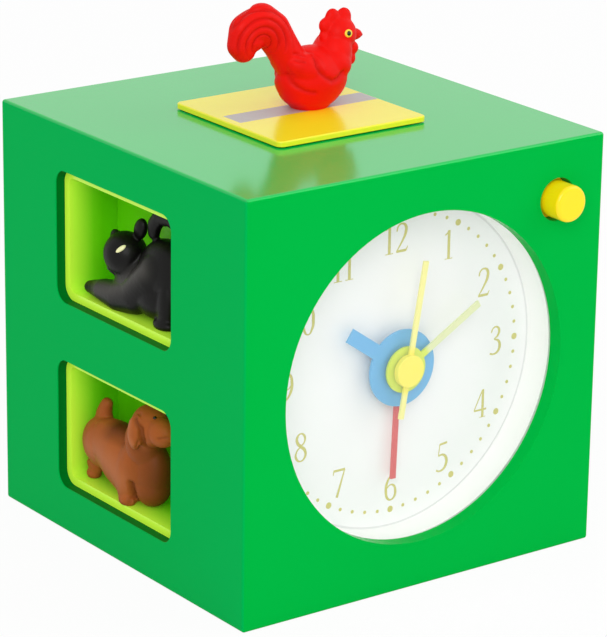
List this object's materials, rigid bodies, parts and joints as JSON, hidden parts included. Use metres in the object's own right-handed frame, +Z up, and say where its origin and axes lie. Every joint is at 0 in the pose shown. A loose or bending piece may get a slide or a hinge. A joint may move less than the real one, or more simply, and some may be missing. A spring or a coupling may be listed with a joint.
{
  "type": "kids alarm clock",
  "caption": "Cube-shaped table alarm clock with a deep round dial, a push button, side niches holding animal figures and a figure on a perch on top.",
  "frame": {"origin": "centre of the case's base, on the surface that the clock stands on", "axes": "+Z up, -Y out of the dial towards the user, -X towards the side with the niches"},
  "size_m": [0.11, 0.1156, 0.1408],
  "materials": {
    "case_lacquer": "glossy green lacquer",
    "corner_wood": "bare softwood",
    "niche_lime": "glossy, let a little light through",
    "perch_yellow": "glossy",
    "strip_grey": "satin",
    "pad_foam": "foam tape",
    "rooster_red": "soft sheen",
    "cat_black": "soft sheen",
    "dog_brown": "soft sheen",
    "cup_white": "satin white",
    "dial_white": "matt print",
    "lens_clear": "clear",
    "hour_blue": "satin enamel",
    "minute_lime": "satin enamel",
    "second_yellow": "satin enamel",
    "alarm_red": "satin enamel",
    "button_yellow": "glossy",
    "inner_black": "moulded",
    "back_black": "fine grain",
    "gear_white": "moulded",
    "nut_brass": "turned",
    "screw_steel": "zinc plated",
    "contact_steel": "nickel plated",
    "cell_wrap": "printed film, left plain",
    "copper": "enamelled copper wire",
    "stator_steel": "stamped",
    "magnet": "sintered",
    "circuit_green": "solder mask",
    "crystal_can": "drawn can",
    "speaker_steel": "black",
    "cone_paper": "pressed paper"
  },
  "bodies": {
    "case": {"alarm_switch_body": "inner_black", "back_panel": "back_black", "back_screws": "screw_steel", "base_board": "case_lacquer", "battery_box": "inner_black", "battery_cells": "cell_wrap", "battery_contacts": "contact_steel", "button_housing": "inner_black", "button_spring": "contact_steel", "button_switch": "inner_black", "centre_nut": "nut_brass", "coil": "copper", "corner_blocks": "corner_wood", "dial_cup": "cup_white", "dial_lens": "lens_clear", "dial_plate": "dial_white", "dial_screws": "screw_steel", "front_board": "case_lacquer", "left_board": "case_lacquer", "lower_window_tray": "niche_lime", "main_board": "circuit_green", "movement_board": "circuit_green", "movement_front_case": "inner_black", "movement_rear_case": "inner_black", "movement_screws": "screw_steel", "perch_pad": "pad_foam", "perch_plate": "perch_yellow", "perch_strip": "strip_grey", "quartz_crystal": "crystal_can", "right_board": "case_lacquer", "sound_chip": "inner_black", "speaker_cone": "cone_paper", "speaker_frame": "speaker_steel", "speaker_magnet": "magnet", "stator": "stator_steel", "top_board": "case_lacquer", "upper_window_tray": "niche_lime"},
    "time_set": {"time_set_knob": "back_black", "time_set_spindle": "gear_white"},
    "minute": {"minute_hand": "minute_lime", "minute_pinion": "gear_white"},
    "hour": {"hour_hand": "hour_blue", "hour_wheel": "gear_white"},
    "reduction": {"reduction_wheel": "gear_white"},
    "second": {"second_hand": "second_yellow", "second_wheel": "gear_white"},
    "third": {"third_wheel": "gear_white"},
    "centre": {"centre_wheel": "gear_white"},
    "intermediate": {"intermediate_wheel": "gear_white"},
    "rotor": {"rotor": "magnet"},
    "alarm_set": {"alarm_set_knob": "back_black", "alarm_set_spindle": "gear_white"},
    "alarm": {"alarm_hand": "alarm_red", "alarm_wheel": "gear_white"},
    "button": {"front_button": "button_yellow"},
    "rooster": {"rooster_figure": "rooster_red"},
    "cat": {"cat_figure": "cat_black"},
    "dog": {"dog_figure": "dog_brown"},
    "door": {"battery_door": "back_black"},
    "switch": {"alarm_switch_slider": "back_black"}
  },
  "joints": [
    {"name": "time_set_turn", "type": "hinge", "parent": "case", "child": "time_set", "pos_m": [0.0165, 0.05, 0.06453], "axis": [0, 1, 0], "continuous": true},
    {"name": "minute_turn", "type": "hinge", "parent": "case", "child": "minute", "pos_m": [0, -0.04, 0.055], "axis": [0, 1, 0], "continuous": true},
    {"name": "hour_turn", "type": "hinge", "parent": "case", "child": "hour", "pos_m": [0, -0.04, 0.055], "axis": [0, 1, 0], "continuous": true},
    {"name": "reduction_turn", "type": "hinge", "parent": "case", "child": "reduction", "pos_m": [0.011, -0.035, 0.055], "axis": [0, 1, 0], "continuous": true},
    {"name": "second_turn", "type": "hinge", "parent": "case", "child": "second", "pos_m": [0, -0.03, 0.055], "axis": [0, 1, 0], "continuous": true},
    {"name": "third_turn", "type": "hinge", "parent": "case", "child": "third", "pos_m": [0, -0.032, 0.044], "axis": [0, 1, 0], "continuous": true},
    {"name": "centre_turn", "type": "hinge", "parent": "case", "child": "centre", "pos_m": [0, -0.0325, 0.055], "axis": [0, 1, 0], "continuous": true},
    {"name": "intermediate_turn", "type": "hinge", "parent": "case", "child": "intermediate", "pos_m": [-0.0105, -0.028, 0.055], "axis": [0, 1, 0], "continuous": true},
    {"name": "rotor_turn", "type": "hinge", "parent": "case", "child": "rotor", "pos_m": [-0.015, -0.029, 0.04721], "axis": [0, 1, 0], "continuous": true},
    {"name": "alarm_set_turn", "type": "hinge", "parent": "case", "child": "alarm_set", "pos_m": [-0.0165, 0.05, 0.06453], "axis": [0, 1, 0], "continuous": true},
    {"name": "alarm_turn", "type": "hinge", "parent": "case", "child": "alarm", "pos_m": [0, -0.04, 0.055], "axis": [0, 1, 0], "continuous": true},
    {"name": "button_press", "type": "slide", "parent": "case", "child": "button", "axis": [0, 1, 0], "range_m": [0, 0.0025], "stiffness_N_per_m": 400, "springref_m": -0.001, "deforming": ["button_spring"]},
    {"name": "rooster_lift_off", "type": "slide", "parent": "case", "child": "rooster", "axis": [0, 0, 1], "range_m": [0, 0.04]},
    {"name": "cat_lift_off", "type": "slide", "parent": "case", "child": "cat", "axis": [-1, 0, 0], "range_m": [0, 0.045]},
    {"name": "dog_lift_off", "type": "slide", "parent": "case", "child": "dog", "axis": [-1, 0, 0], "range_m": [0, 0.045]},
    {"name": "door_lift_off", "type": "slide", "parent": "case", "child": "door", "axis": [0, 1, 0], "range_m": [0, 0.03]},
    {"name": "switch_slide", "type": "slide", "parent": "case", "child": "switch", "axis": [1, 0, 0], "range_m": [0, 0.004]}
  ],
  "couplings": [
    {"joint": "minute_turn", "follows": "time_set_turn", "ratio": 1},
    {"joint": "hour_turn", "follows": "time_set_turn", "ratio": 0.083333},
    {"joint": "reduction_turn", "follows": "time_set_turn", "ratio": -0.33333},
    {"joint": "third_turn", "follows": "second_turn", "ratio": -0.13333},
    {"joint": "centre_turn", "follows": "second_turn", "ratio": 0.016667},
    {"joint": "intermediate_turn", "follows": "second_turn", "ratio": -6},
    {"joint": "rotor_turn", "follows": "second_turn", "ratio": 30},
    {"joint": "alarm_turn", "follows": "alarm_set_turn", "ratio": -0.33333}
  ]
}
